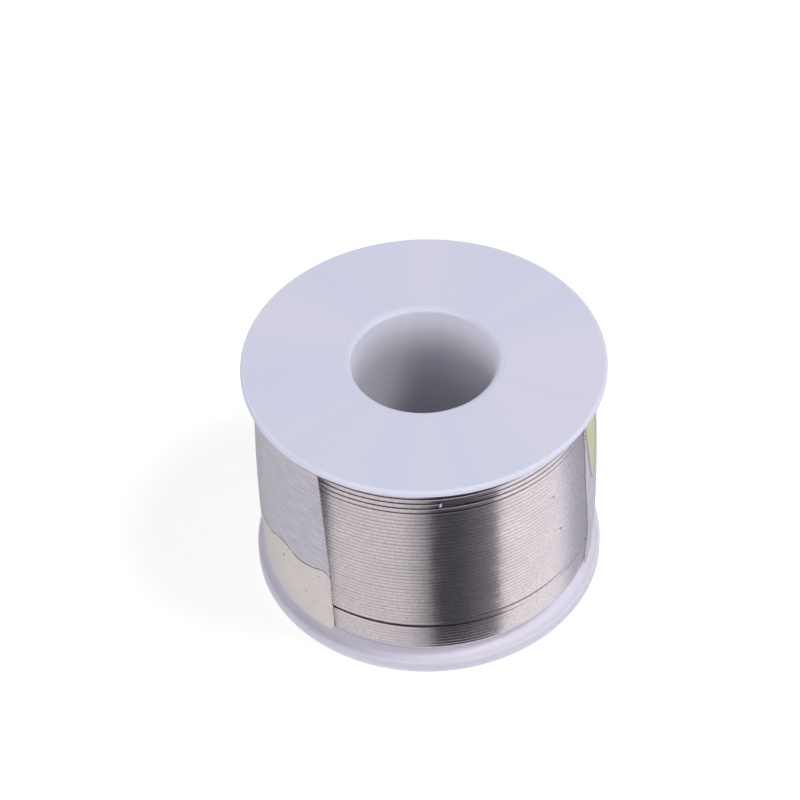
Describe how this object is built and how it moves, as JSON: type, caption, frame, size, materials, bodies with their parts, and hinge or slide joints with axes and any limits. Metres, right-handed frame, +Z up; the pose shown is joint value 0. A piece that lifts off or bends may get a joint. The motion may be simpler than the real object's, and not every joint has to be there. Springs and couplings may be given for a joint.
{
  "type": "solder wire spool",
  "caption": "Plastic reel of close-wound solder wire, with a through bore that lets it turn on a spindle while wire is pulled off.",
  "frame": {"origin": "centre of the bottom flange's outer face, on the bore's axis, where the spool stands", "axes": "+Z up along the bore's axis, towards the flange with the disc label; -Y is the side where the wire shows between the ends of the wrap label"},
  "size_m": [0.058, 0.058, 0.0426],
  "materials": {
    "reel_plastic": "milky, slightly translucent moulded plastic",
    "solder": "bright drawn solder wire",
    "disc_label": "smooth coated paper, blank",
    "wrap_label": "satin coated paper, blank"
  },
  "bodies": {
    "root": {"core_tube": "reel_plastic", "top_flange": "reel_plastic", "bottom_flange": "reel_plastic", "top_disc_label": "disc_label", "inner_wire_layers": "solder", "outer_wire_layers": "solder", "wire_tail": "solder", "wrap_label": "wrap_label"}
  },
  "joints": []
}
